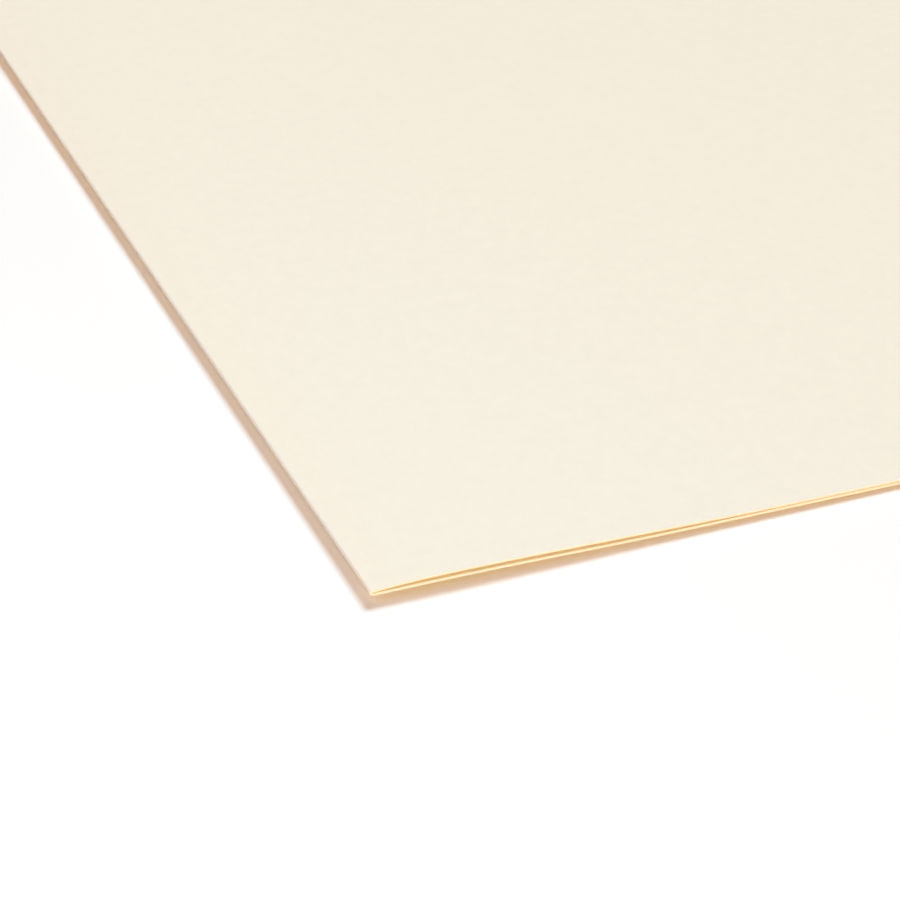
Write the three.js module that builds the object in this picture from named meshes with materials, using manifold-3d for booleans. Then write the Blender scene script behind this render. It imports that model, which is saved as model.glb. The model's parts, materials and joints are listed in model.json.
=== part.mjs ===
// A letter-size file folder: one die-cut sheet of manila board, folded once and lying closed.
// Millimetres. X runs along the fold, Y from the fold to the tab and Z up from the table,
// with the origin on the table under the middle of the folder.
import * as THREE from "three";
import { mergeVertices } from "three/addons/utils/BufferGeometryUtils.js";
import Module from "manifold-3d";

const wasm = await Module();
wasm.setup();

// Sizes of the sheet
const boardThickness = 0.28; // 11 point board
const foldLength = 298.45; // 11 3/4 in, both covers along the fold
const frontHeight = 222.25; // 8 3/4 in, fold to the front cover's free edge
const backHeight = 228.6; // 9 in, fold to the back cover's free edge beside the tab
const freeCornerRadius = 6.35; // 1/4 in, the covers' corners away from the fold
const tabRise = 12.7; // 1/2 in, how far the tab stands past the back cover's edge
const tabFootWidth = 99.5; // where the tab's sides meet that edge
const tabTopWidth = 88;
const tabFootRadius = 5; // the hollow round at each side's foot
const tabCornerRadius = 5;

// How the closed folder lies
const springLift = 0.53; // the fold's spring raises the sheet's underside by this at its ends
const springReach = 24.8; // and dies away within about half as much again
const bowLift = 0.65; // a long shallow bow raises the fold by this more
const bowReach = 110; // and comes down to the table at this distance from it
const foldDip = 0.23; // the fold lies this much lower at its middle than at its ends
const foldGap = 0.09; // between the covers at the fold, and again far from it
const coverSpread = 0.3; // how much further apart they spring near the fold
const partReach = 2.6; // they part within about twice this distance of the fold
const closeReach = 40; // and come together again at about this distance

// Where one sheet is divided into named pieces
const seam = 0.02;

// Fineness of the faceted curves
const alongSteps = 12; // along the fold
const coverSteps = 26; // from the fold to the free edge
const tabSteps = 2;
const stepGrowth = 1.7; // above 1, the steps are shortest near the fold, where the bend is
const creaseSteps = 8;
const cornerSteps = 5;

const manila = new THREE.MeshStandardMaterial({ color: 0xf6eedf, roughness: 0.85, metalness: 0 });

// The fold turns about an axis along X, in the middle of the gap. Y is measured from there.
const creaseRadius = foldGap / 2 + boardThickness;
const endLift = springLift + bowLift;
const axisHeight = endLift - foldDip / 2 + creaseRadius;
const frontEdge = frontHeight - creaseRadius;
const backEdge = backHeight - creaseRadius;
const tabSeam = backEdge;
const tabTip = backEdge + tabRise;
const axisY = creaseRadius - (backHeight + tabRise) / 2;
const halfLength = foldLength / 2;

// Height of the sheet's underside at the fold, which dips between its ends.
function foldHeight(x) {
  return endLift - foldDip * (1 - (x / halfLength) ** 2);
}

// Height of the back cover's underside, from the fold down to the table.
function backUnderside(x, y) {
  if (y >= bowReach) return 0;
  const s = y / bowReach;
  const bow = bowLift * (1 - s ** 3) ** 2;
  const spring = springLift * Math.exp(-((y / springReach) ** 3));
  return ((bow + spring) * foldHeight(x)) / endLift;
}

// Clear space between the two covers.
function coverGap(y) {
  const parted = 1 - Math.exp(-y / partReach);
  const stillOpen = Math.exp(-((y / closeReach) ** 6));
  return foldGap + coverSpread * parted * stillOpen;
}

function frontUnderside(x, y) {
  return backUnderside(x, y) + boardThickness + coverGap(y);
}

function solidOf(geometry) {
  geometry.deleteAttribute("normal");
  geometry.deleteAttribute("uv");
  const merged = mergeVertices(geometry);
  return new wasm.Manifold(
    new wasm.Mesh({
      numProp: 3,
      vertProperties: merged.attributes.position.array,
      triVerts: new Uint32Array(merged.index.array),
    }),
  );
}

function geometryOf(solid) {
  const mesh = solid.getMesh();
  const geometry = new THREE.BufferGeometry();
  geometry.setAttribute("position", new THREE.BufferAttribute(mesh.vertProperties, 3));
  geometry.setIndex(new THREE.BufferAttribute(mesh.triVerts, 1));
  geometry.computeVertexNormals();
  return geometry;
}

// A closed outline from its corners, each [x, y, radius], with the rounds as true arcs.
// The first corner has no radius.
function roundedOutline(corners) {
  const shape = new THREE.Shape();
  corners.forEach(([x, y, radius], i) => {
    const corner = new THREE.Vector2(x, y);
    if (radius === 0) {
      if (i === 0) shape.moveTo(x, y);
      else shape.lineTo(x, y);
      return;
    }
    const [beforeX, beforeY] = corners[i - 1];
    const [afterX, afterY] = corners[(i + 1) % corners.length];
    const back = new THREE.Vector2(beforeX - x, beforeY - y).normalize();
    const on = new THREE.Vector2(afterX - x, afterY - y).normalize();
    const half = Math.acos(back.dot(on)) / 2;
    const start = corner.clone().addScaledVector(back, radius / Math.tan(half));
    const end = corner.clone().addScaledVector(on, radius / Math.tan(half));
    const middle = back.clone().add(on).normalize();
    const centre = corner.clone().addScaledVector(middle, radius / Math.sin(half));
    const turnsRight = back.cross(on) > 0;
    shape.lineTo(start.x, start.y);
    shape.absarc(
      centre.x,
      centre.y,
      radius,
      start.clone().sub(centre).angle(),
      end.clone().sub(centre).angle(),
      turnsRight,
    );
  });
  return shape;
}

// Outlines seen from above, from the fold's axis to the free edge.
const frontOutline = roundedOutline([
  [-halfLength, 0, 0],
  [halfLength, 0, 0],
  [halfLength, frontEdge, freeCornerRadius],
  [-halfLength, frontEdge, freeCornerRadius],
]);
const backOutline = roundedOutline([
  [-halfLength, 0, 0],
  [halfLength, 0, 0],
  [halfLength, backEdge, freeCornerRadius],
  [tabFootWidth / 2, backEdge, tabFootRadius],
  [tabTopWidth / 2, tabTip, tabCornerRadius],
  [-tabTopWidth / 2, tabTip, tabCornerRadius],
  [-tabFootWidth / 2, backEdge, tabFootRadius],
  [-halfLength, backEdge, freeCornerRadius],
]);

// The stretch of sheet from y = from to y = to, bent to its underside and cut to its outline.
function sheetBetween(from, to, steps, underside, outline) {
  const slab = new THREE.BoxGeometry(foldLength, 1, 1, alongSteps, steps, 1);
  const at = slab.getAttribute("position");
  for (let i = 0; i < at.count; i++) {
    const x = at.getX(i);
    const share = at.getY(i) + 0.5;
    const y = from + (to - from) * share ** stepGrowth;
    const rise = at.getZ(i) > 0 ? boardThickness : 0;
    at.setXYZ(i, x, y, underside(x, y) + rise);
  }
  const reach = endLift + coverSpread + creaseRadius * 2;
  const cutter = new THREE.ExtrudeGeometry(outline, {
    depth: 2 * reach,
    bevelEnabled: false,
    curveSegments: cornerSteps,
  }).translate(0, 0, -reach / 2);
  return geometryOf(solidOf(slab).intersect(solidOf(cutter)));
}

// The bend itself: half a ring along the fold, open towards the covers.
function creaseGeometry() {
  const ring = new THREE.Shape();
  ring.absarc(0, creaseRadius, creaseRadius, Math.PI / 2, (3 * Math.PI) / 2, false);
  ring.absarc(0, creaseRadius, foldGap / 2, (3 * Math.PI) / 2, Math.PI / 2, true);
  const geometry = new THREE.ExtrudeGeometry(ring, {
    depth: foldLength,
    steps: alongSteps,
    bevelEnabled: false,
    curveSegments: creaseSteps,
  });
  const at = geometry.getAttribute("position");
  for (let i = 0; i < at.count; i++) {
    const x = at.getZ(i) - halfLength;
    at.setXYZ(i, x, at.getX(i), foldHeight(x) + at.getY(i));
  }
  return geometry;
}

function piece(name, geometry) {
  const mesh = new THREE.Mesh(geometry, manila);
  mesh.name = name;
  return mesh;
}

// The front cover has a group of its own, which turns about X to open the folder.
const frontCover = piece(
  "front_cover",
  sheetBetween(seam, frontEdge, coverSteps, frontUnderside, frontOutline),
);
frontCover.position.z = -axisHeight;
const hinge = new THREE.Group();
hinge.position.z = axisHeight;
hinge.add(frontCover);

const folder = new THREE.Group();
folder.position.y = axisY;
folder.add(
  piece("back_cover", sheetBetween(seam, tabSeam - seam / 2, coverSteps, backUnderside, backOutline)),
  piece("index_tab", sheetBetween(tabSeam + seam / 2, tabTip, tabSteps, backUnderside, backOutline)),
  piece("fold_crease", creaseGeometry()),
  hinge,
);

export default folder;
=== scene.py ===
import json
import math

import bmesh
import bpy
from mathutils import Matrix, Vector


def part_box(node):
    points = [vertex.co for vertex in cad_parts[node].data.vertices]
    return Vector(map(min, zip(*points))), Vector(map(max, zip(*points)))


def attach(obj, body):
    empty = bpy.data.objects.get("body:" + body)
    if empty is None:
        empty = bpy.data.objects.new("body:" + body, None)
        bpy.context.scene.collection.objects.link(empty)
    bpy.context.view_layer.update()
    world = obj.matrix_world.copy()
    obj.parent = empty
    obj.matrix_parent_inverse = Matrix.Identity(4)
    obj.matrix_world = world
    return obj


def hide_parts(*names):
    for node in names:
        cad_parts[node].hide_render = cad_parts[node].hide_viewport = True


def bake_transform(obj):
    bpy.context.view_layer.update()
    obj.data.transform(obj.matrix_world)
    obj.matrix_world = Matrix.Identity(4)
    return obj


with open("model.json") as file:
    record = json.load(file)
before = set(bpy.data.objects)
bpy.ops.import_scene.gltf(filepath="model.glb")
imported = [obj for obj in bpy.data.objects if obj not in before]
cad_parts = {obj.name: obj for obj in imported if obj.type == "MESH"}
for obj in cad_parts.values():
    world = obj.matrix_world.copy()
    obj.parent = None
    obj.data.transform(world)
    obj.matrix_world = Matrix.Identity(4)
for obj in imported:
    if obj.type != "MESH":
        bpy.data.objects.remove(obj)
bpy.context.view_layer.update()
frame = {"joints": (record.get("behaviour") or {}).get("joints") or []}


# Camera
# A macro lens looks down on the front corner at the fold, from the side, so that the folded edge
# runs away to the left and the two covers' cut edges run away to the right.
fold = next(j for j in frame["joints"] if j["name"] == "cover_fold")
axis_y, axis_z = fold["pos_m"][1:]
end_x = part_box("fold_crease")[1].x
corner_height = 0.0015  # the middle of the fold's end
corner = Vector((end_x, axis_y, corner_height))

focal_length = 115.18  # mm
view_distance = 0.300
aim_right = 0.00802  # from the corner to the middle of the picture
aim_up = 0.01496


def direction(azimuth, elevation):
    """A unit vector, with the azimuth counterclockwise from +X."""
    level = math.cos(elevation)
    return Vector((level * math.cos(azimuth), level * math.sin(azimuth), math.sin(elevation)))


camera_towards = direction(azimuth=math.radians(-21.96), elevation=math.radians(30.93))
right = Vector((0, 0, 1)).cross(camera_towards).normalized()
up = camera_towards.cross(right)

lens = bpy.data.cameras.new("camera")
lens.lens = focal_length
lens.clip_start = 0.01
camera = bpy.data.objects.new("camera", lens)
camera.location = corner + right * aim_right + up * aim_up + camera_towards * view_distance
camera.rotation_euler = camera_towards.to_track_quat("Z", "Y").to_euler()
bpy.context.scene.collection.objects.link(camera)
bpy.context.scene.camera = camera
bpy.context.scene.view_settings.view_transform = "Standard"


# Light
# Cool daylight falls from a wide window behind the folder, a warm lamp stands low in front of it and
# a small softbox hangs close to the corner, in a room with warm walls. Each gives a level face at the
# corner its share, and the shares add up to plain white light.
room_share = (0.19, 0.07, 0.075)
lamp_share = (0.32, 0.21, 0.095)
softbox_share = (0.08, 0.12, 0.15)
window_share = [1 - sum(shares) for shares in zip(room_share, lamp_share, softbox_share)]


def light_from(towards, name, kind, share):
    """A light of the share's colour, turned to shine from where towards points."""
    light = bpy.data.lights.new(name, kind)
    light.color = [part / max(share) for part in share]
    turned = bpy.data.objects.new(name, light)
    turned.rotation_euler = towards.to_track_quat("Z", "Y").to_euler()
    bpy.context.scene.collection.objects.link(turned)
    return turned


def far_light_from(towards, name, share, span):
    """A light so far off that it falls the same everywhere. The folder sees it span wide."""
    light = light_from(towards, name, "SUN", share).data
    light.angle = span
    light.energy = math.pi * max(share) / towards.z


far_light_from(
    direction(azimuth=math.radians(126.5), elevation=math.radians(56.4)),
    "window",
    window_share,
    span=math.radians(30),
)
far_light_from(
    direction(azimuth=math.radians(-15), elevation=math.radians(20)),
    "lamp",
    lamp_share,
    span=math.radians(20),
)

softbox_towards = direction(azimuth=math.radians(-60), elevation=math.radians(50))
softbox_distance = 0.28
softbox_span = math.radians(40)  # how wide the corner sees it
softbox_rim_distance = softbox_distance / math.cos(softbox_span / 2)
softbox = light_from(softbox_towards, "softbox", "AREA", softbox_share)
softbox.location = corner + softbox_towards * softbox_distance
softbox.visible_camera = False
softbox.data.shape = "DISK"
softbox.data.size = 2 * softbox_distance * math.tan(softbox_span / 2)
softbox.data.energy = max(softbox_share) * (math.pi * softbox_rim_distance) ** 2 / softbox_towards.z


def add(tree, kind, settings=None, **inputs):
    """Adds a node, sets its properties, and sets or links its inputs. An input is named with _ for a
    space, or numbered, as _0."""
    node = tree.nodes.new(kind)
    for name, value in (settings or {}).items():
        setattr(node, name, value)
    for name, value in inputs.items():
        key = int(name[1:]) if name[1:].isdigit() else name.replace("_", " ")
        if isinstance(value, bpy.types.NodeSocket):
            tree.links.new(value, node.inputs[key])
        else:
            node.inputs[key].default_value = value
    return node


def seen_rays(tree):
    """1 on the rays by which the camera sees a backdrop: straight, in a reflection or through glass."""
    rays = add(tree, "ShaderNodeLightPath").outputs
    straight, reflected, through = rays["Is Camera Ray"], rays["Is Glossy Ray"], rays["Is Transmission Ray"]
    seen = add(tree, "ShaderNodeMath", {"operation": "MAXIMUM"}, _0=straight, _1=reflected)
    return add(tree, "ShaderNodeMath", {"operation": "MAXIMUM"}, _0=seen.outputs[0], _1=through).outputs[0]


world = bpy.data.worlds.new("studio")
bpy.context.scene.world = world
world.use_nodes = True
sky = world.node_tree
sky.nodes.clear()
sky_colour = add(
    sky,
    "ShaderNodeMix",
    {"data_type": "RGBA"},
    Factor=seen_rays(sky),
    _6=(*room_share, 1),
    _7=(1, 1, 1, 1),
)
glow = add(sky, "ShaderNodeBackground", Color=sky_colour.outputs[2], Strength=1.0)
add(sky, "ShaderNodeOutputWorld", Surface=glow.outputs[0])


# Floor
# A white table top that the folder lies on. The camera sees it as bright as paper, and it keeps the
# folder's shadow.
floor_depth = 0.00002  # below the folder, so that their faces don't coincide
floor_size = 8.0
floor_colour = 0.80
floor_seen = 1.02


def piece_of(bm, name):
    """Makes the mesh a piece of the scene, and frees it."""
    mesh = bpy.data.meshes.new(name)
    bm.to_mesh(mesh)
    bm.free()
    piece = bpy.data.objects.new(name, mesh)
    bpy.context.scene.collection.objects.link(piece)
    return piece


def dress(piece, *materials):
    """Gives the piece its materials, one slot for each."""
    for material in materials:
        piece.data.materials.append(material)


bm = bmesh.new()
bmesh.ops.create_grid(bm, x_segments=1, y_segments=1, size=floor_size / 2)
bmesh.ops.translate(bm, verts=bm.verts, vec=(0, 0, -floor_depth))
floor = piece_of(bm, "floor")

laminate = bpy.data.materials.new("white_laminate")
laminate.use_nodes = True
tree = laminate.node_tree
tree.nodes.clear()
shade = add(tree, "ShaderNodeMapRange", Value=seen_rays(tree), To_Min=floor_colour, To_Max=floor_seen)
matt = add(tree, "ShaderNodeBsdfDiffuse", Color=shade.outputs[0])
add(tree, "ShaderNodeOutputMaterial", Surface=matt.outputs[0])
dress(floor, laminate)


# Back cover and index tab
# The larger half of one die-cut sheet of 11 point manila board, with the tab left standing at its
# free edge. It is cut by steel rule, so its edge is square, with the faint rolled rim that a rule
# leaves.
tab_low, tab_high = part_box("index_tab")
tab_tip = tab_high.y
back_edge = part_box("back_cover")[1].y
board = tab_high.z - tab_low.z

corner_round = 0.00635
tab_foot = 0.0995
tab_top = 0.088
tab_round = 0.005
round_steps = 8
rim = 0.00004
rim_steps = 2
cut_lean = 0.00005  # the rule is a wedge, so the sheet's inner side is cut this much smaller

spring_lift = 0.00053
spring_reach = 0.0248
bow_lift = 0.00065
bow_reach = 0.110
fold_dip = 0.00023
end_lift = spring_lift + bow_lift  # how high the fold's ends lie

along_steps = 24
away_steps = 44
step_growth = 1.9  # above 1, the steps away from the fold are shortest beside it
cut_turn = math.radians(60)  # a sharper turn than this is the edge of a cut face
crisp_turn = math.radians(20)  # and one sharper than this isn't smoothed over

outer_slot, inner_slot, cut_slot = range(3)  # the order of a piece's materials


def fold_share(x):
    """How high the fold lies at x, as a share of its height at the ends."""
    return 1 - fold_dip / end_lift * (1 - (x / end_x) ** 2)


def back_underside(x, y):
    """The height of the back cover's underside, which the fold springs up from the table."""
    away = y - axis_y
    if away >= bow_reach:
        return 0.0
    bow = bow_lift * (1 - (away / bow_reach) ** 3) ** 2
    spring = spring_lift * math.exp(-((away / spring_reach) ** 3))
    return (bow + spring) * fold_share(x)


def slice_at(bm, point, normal):
    """Cuts the whole mesh through by a plane, so that it can bend there."""
    everything = bm.verts[:] + bm.edges[:] + bm.faces[:]
    bmesh.ops.bisect_plane(bm, geom=everything, plane_co=point, plane_no=normal)


def slice_along_fold(bm):
    """Cuts the mesh at even steps along the fold, so that it can follow the fold's dip."""
    for i in range(1, along_steps):
        slice_at(bm, point=(end_x * (2 * i / along_steps - 1), 0, 0), normal=(1, 0, 0))


def extrude(bm, by):
    """Gives an open surface a thickness, or a length."""
    grown = bmesh.ops.extrude_face_region(bm, geom=bm.faces[:])["geom"]
    bmesh.ops.translate(bm, verts=[v for v in grown if isinstance(v, bmesh.types.BMVert)], vec=by)


def board_piece(name, corners, tip, underside, inner):
    """A bent board. Each corner is x, y and how far its round starts from it, from the fold's two
    ends on. Its inner side is its top or its bottom: 1 or -1."""
    bm = bmesh.new()
    verts = [bm.verts.new((x, y, 0)) for x, y, _ in corners]
    bm.faces.new(verts)
    for reach in sorted({c[2] for c in corners if c[2]}):
        rounded = [v for v, c in zip(verts, corners) if c[2] == reach]
        bmesh.ops.bevel(
            bm,
            geom=rounded,
            offset=reach,
            segments=round_steps,
            profile=0.5,
            affect="VERTICES",
            material=-1,
        )
    slice_along_fold(bm)
    for i in range(1, away_steps):
        away = (tip - axis_y) * (i / away_steps) ** step_growth
        slice_at(bm, point=(0, axis_y + away, 0), normal=(0, 1, 0))
    extrude(bm, by=(0, 0, board))
    bmesh.ops.recalc_face_normals(bm, faces=bm.faces)
    rims = [
        e
        for e in bm.edges
        if e.calc_face_angle(0) > cut_turn
        and abs(e.verts[0].co.z - e.verts[1].co.z) < board / 2
        and max(v.co.y for v in e.verts) > axis_y + rim
    ]
    bmesh.ops.bevel(
        bm,
        geom=rims,
        offset=rim,
        segments=rim_steps,
        profile=0.5,
        affect="EDGES",
        material=-1,
    )
    for face in bm.faces:
        face.smooth = True
        if abs(face.normal.z) < math.cos(cut_turn):
            face.material_index = cut_slot
        else:
            face.material_index = inner_slot if face.normal.z * inner > 0 else outer_slot
    for v in bm.verts:
        inward = 0.5 + inner * (v.co.z / board - 0.5)
        v.co.x *= 1 - inward * cut_lean / end_x
        v.co.y -= inward * cut_lean * (v.co.y - axis_y) / (tip - axis_y)
        v.co.z += underside(v.co.x, v.co.y)
    piece = piece_of(bm, name)
    piece.data.set_sharp_from_angle(angle=crisp_turn)
    return piece


tab_turn = math.atan2(tab_tip - back_edge, (tab_foot - tab_top) / 2)
tab_reach = tab_round * math.tan(tab_turn / 2)  # how far from its corner a round starts
back_sheet = board_piece(
    "back_sheet",
    [
        (-end_x, axis_y, 0),
        (end_x, axis_y, 0),
        (end_x, back_edge, corner_round),
        (tab_foot / 2, back_edge, tab_reach),
        (tab_top / 2, tab_tip, tab_reach),
        (-tab_top / 2, tab_tip, tab_reach),
        (-tab_foot / 2, back_edge, tab_reach),
        (-end_x, back_edge, corner_round),
    ],
    tip=tab_tip,
    underside=back_underside,
    inner=1,
)

# Manila board: pulp beaten fine and pressed between rolls, dyed through to a warm cream. It gives the
# eye a matt face, with faint clouds where the pulp lies thicker.
board_colour = "#F7F0E0"
inside_glow_colour = "#F9F1D8"  # a little yellower than the face, all over the inside: a painted glow for the light that passes through the front cover and between the covers
# The cut faces are painted paler and less yellow than the face: a painted highlight, where the lamp lights
# the cut edges until they bleach toward white.
cut_highlight_colour = "#F8EFE6"
palest = 1.020  # times the colour
deepest = 0.972
board_roughness = 0.85
cloud_size = 0.002
fibre_length = 0.0009
fibre_width = 0.00018
fibre_turn = math.radians(12)
fibres_in_tone = 0.45  # and the rest is clouds
tooth_size = 0.00012
tooth_in_relief = 0.5  # and the rest is fibres
relief_depth = 0.00001
relief_strength = 0.3
noise_low, noise_high = 0.3, 0.7  # noise keeps to these, but for a few spots


def linear(code):
    """The linear colour of an sRGB hex code."""
    parts = [int(code[i : i + 2], 16) / 255 for i in (1, 3, 5)]
    return [c / 12.92 if c <= 0.04045 else ((c + 0.055) / 1.055) ** 2.4 for c in parts]


def board_material(name, colour):
    """Manila board."""
    material = bpy.data.materials.new(name)
    material.use_nodes = True
    tree = material.node_tree
    tree.nodes.clear()
    place = add(tree, "ShaderNodeTexCoord").outputs["Object"]
    cloud = add(tree, "ShaderNodeTexNoise", Vector=place, Scale=1 / cloud_size, Detail=5.0, Roughness=0.6)
    grain_way = add(
        tree,
        "ShaderNodeMapping",
        Vector=place,
        Scale=(1 / fibre_length, 1 / fibre_width, 1 / fibre_width),
        Rotation=(0, 0, fibre_turn),
    )
    fibre = add(
        tree,
        "ShaderNodeTexNoise",
        Vector=grain_way.outputs[0],
        Scale=1.0,
        Detail=3.0,
        Distortion=1.5,
    )
    tooth = add(tree, "ShaderNodeTexNoise", Vector=place, Scale=1 / tooth_size, Detail=2.0)
    mixed = add(tree, "ShaderNodeMix", Factor=fibres_in_tone, _2=cloud.outputs[0], _3=fibre.outputs[0])
    tone = add(
        tree,
        "ShaderNodeMapRange",
        Value=mixed.outputs[0],
        From_Min=noise_low,
        From_Max=noise_high,
        To_Min=deepest,
        To_Max=palest,
    )
    paint = add(
        tree,
        "ShaderNodeVectorMath",
        {"operation": "SCALE"},
        _0=linear(colour),
        Scale=tone.outputs[0],
    )
    height = add(tree, "ShaderNodeMix", Factor=tooth_in_relief, _2=fibre.outputs[0], _3=tooth.outputs[0])
    relief = add(
        tree,
        "ShaderNodeBump",
        Strength=relief_strength,
        Distance=relief_depth,
        Height=height.outputs[0],
    )
    surface = add(
        tree,
        "ShaderNodeBsdfPrincipled",
        Base_Color=paint.outputs[0],
        Roughness=board_roughness,
        Normal=relief.outputs[0],
    )
    add(tree, "ShaderNodeOutputMaterial", Surface=surface.outputs[0])
    return material


manila = board_material("manila_board_face", board_colour)
# The board's inside carries a painted glow, the yellower colour that light through and between the covers
# would give it.
inside_glow_manila = board_material("manila_board_inside_painted_glow", inside_glow_colour)
# The cut faces carry a painted highlight.
cut_manila_highlighted = board_material("manila_board_cut_painted_highlight", cut_highlight_colour)
dress(back_sheet, manila, inside_glow_manila, cut_manila_highlighted)
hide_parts("back_cover", "index_tab")
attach(back_sheet, "back")


# Fold
# The bend of the same board, creased once by machine and pressed shut. Its fibres are crushed, so it
# is dense and rolls over with a small tight radius instead of a sharp edge.
bend_outer = axis_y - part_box("fold_crease")[0].y
bend_inner = bend_outer - board
bend_middle = (bend_outer + bend_inner) / 2
bend_steps = 20
crushed_colour = "#F6F2EA"
crushed_round = 0.00019
crushed_steps = 4


def from_bend_axis(point):
    """How far a point is from the axis of the bend, which lies level until the bend is lifted."""
    return math.hypot(point.y - axis_y, point.z)


bm = bmesh.new()
section = [bm.verts.new((-end_x, axis_y, -r)) for r in (bend_outer, bend_inner)]
wall = bm.edges.new(section)
bmesh.ops.spin(
    bm,
    geom=[wall] + section,
    cent=(0, axis_y, 0),
    axis=(1, 0, 0),
    angle=-math.pi,
    steps=bend_steps,
)
extrude(bm, by=(2 * end_x, 0, 0))
slice_along_fold(bm)
bmesh.ops.recalc_face_normals(bm, faces=bm.faces)
end_rims = [
    e
    for e in bm.edges
    if e.calc_face_angle(0) > cut_turn
    and min(from_bend_axis(v.co) for v in e.verts) > bend_middle
    and abs(e.verts[0].co.x - e.verts[1].co.x) < crushed_round
]
bmesh.ops.bevel(
    bm,
    geom=end_rims,
    offset=crushed_round,
    segments=crushed_steps,
    profile=0.5,
    affect="EDGES",
    material=-1,
)
for face in bm.faces:
    face.smooth = True
    is_inner = from_bend_axis(face.calc_center_median()) < bend_middle
    if is_inner and abs(face.normal.x) < math.cos(cut_turn):
        face.material_index = inner_slot
for v in bm.verts:
    inward = (bend_outer - from_bend_axis(v.co)) / board
    v.co.x *= 1 - inward * cut_lean / end_x
    v.co.z += end_lift * fold_share(v.co.x) + bend_outer
fold_bend = piece_of(bm, "fold_bend")
fold_bend.data.set_sharp_from_angle(angle=crisp_turn)

crushed_manila = board_material("manila_board_crushed", crushed_colour)
dress(fold_bend, crushed_manila, inside_glow_manila)
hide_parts("fold_crease")
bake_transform(fold_bend)


# Front cover
# The other half of the sheet, a little shorter so that the tab shows past it. It springs away from
# the back cover near the fold and comes down close to it again further off.
front_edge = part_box("front_cover")[1].y
open_clearance = 0.000005  # from the back cover, when the folder lies open
front_start = axis_y + open_clearance
fold_gap = 2 * bend_inner
cover_spread = 0.0003
part_reach = 0.0026
close_reach = 0.040
roll_over = 0.0006  # the fold rolls over within this distance


def front_underside(x, y):
    """The height of the front cover's underside, above the back cover by the gap between them."""
    away = y - axis_y
    parted = 1 - math.exp((roll_over - math.hypot(away, roll_over)) / part_reach)
    still_open = math.exp(-((away / close_reach) ** 6))
    gap = fold_gap + cover_spread * parted * still_open
    return back_underside(x, y) + board + gap


front_sheet = board_piece(
    "front_sheet",
    [
        (-end_x, front_start, 0),
        (end_x, front_start, 0),
        (end_x, front_edge, corner_round),
        (-end_x, front_edge, corner_round),
    ],
    tip=front_edge,
    underside=front_underside,
    inner=-1,
)
dress(front_sheet, manila, inside_glow_manila, cut_manila_highlighted)
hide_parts("front_cover")
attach(front_sheet, "front")
